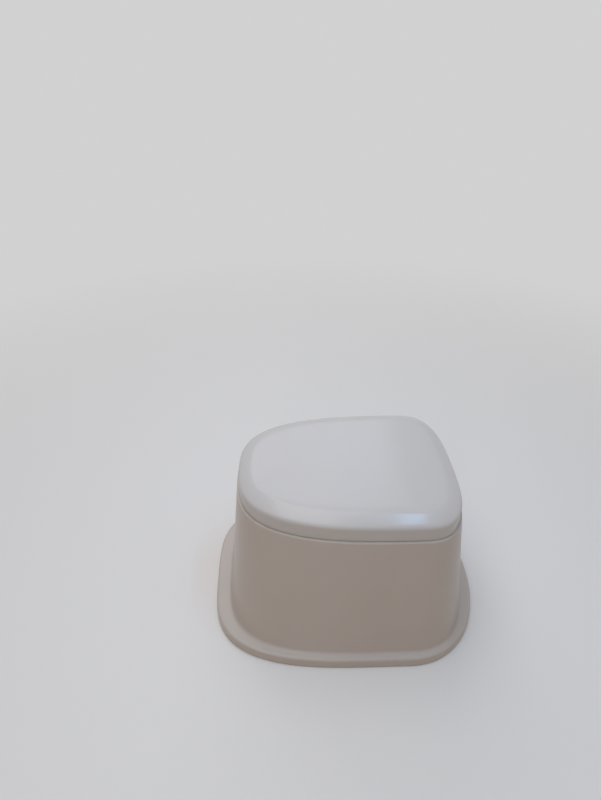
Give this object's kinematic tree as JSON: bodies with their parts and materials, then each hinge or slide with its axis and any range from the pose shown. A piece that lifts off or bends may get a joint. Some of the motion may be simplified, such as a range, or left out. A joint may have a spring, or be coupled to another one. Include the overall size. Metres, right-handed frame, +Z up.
{
  "type": "raised toilet seat pedestal",
  "caption": "Raised seat pedestal that stands over a floor-level toilet pan: flared plastic shell with a foot flange, seat ring, splash guard and hinged lid.",
  "frame": {"origin": "middle of the footprint, on the floor", "axes": "the front points along -X, the hinge is at +X, +Y is on the left as seen from the front, and +Z is up"},
  "size_m": [0.55, 0.452, 0.329],
  "materials": {
    "ivory_plastic": "moulded satin gloss, warm ivory",
    "seat_plastic": "smooth gloss, ivory",
    "lid_plastic": "smooth gloss, pale ivory",
    "pin_steel": "plain turned",
    "grey_rubber": "matt moulded"
  },
  "bodies": {
    "pedestal": {"pedestal_shell": "ivory_plastic", "splash_guard": "ivory_plastic", "seat_ring": "seat_plastic", "hinge_bracket_left": "ivory_plastic", "hinge_bracket_right": "ivory_plastic", "hinge_pin_left": "pin_steel", "hinge_pin_right": "pin_steel", "seat_buffer_front_left": "grey_rubber", "seat_buffer_front_right": "grey_rubber", "seat_buffer_back_left": "grey_rubber", "seat_buffer_back_right": "grey_rubber", "floor_pad_front": "grey_rubber", "floor_pad_back": "grey_rubber", "floor_pad_front_left": "grey_rubber", "floor_pad_front_right": "grey_rubber", "floor_pad_side_left": "grey_rubber", "floor_pad_side_right": "grey_rubber", "floor_pad_back_left": "grey_rubber", "floor_pad_back_right": "grey_rubber"},
    "lid": {"lid": "lid_plastic", "lid_buffer_front_left": "grey_rubber", "lid_buffer_front_right": "grey_rubber", "lid_buffer_back_left": "grey_rubber", "lid_buffer_back_right": "grey_rubber"}
  },
  "joints": [
    {"name": "lid_hinge", "type": "hinge", "parent": "pedestal", "child": "lid", "pos_m": [0.20177, 0, 0.272], "axis": [0, 1, 0], "range_deg": [0, 98]}
  ]
}
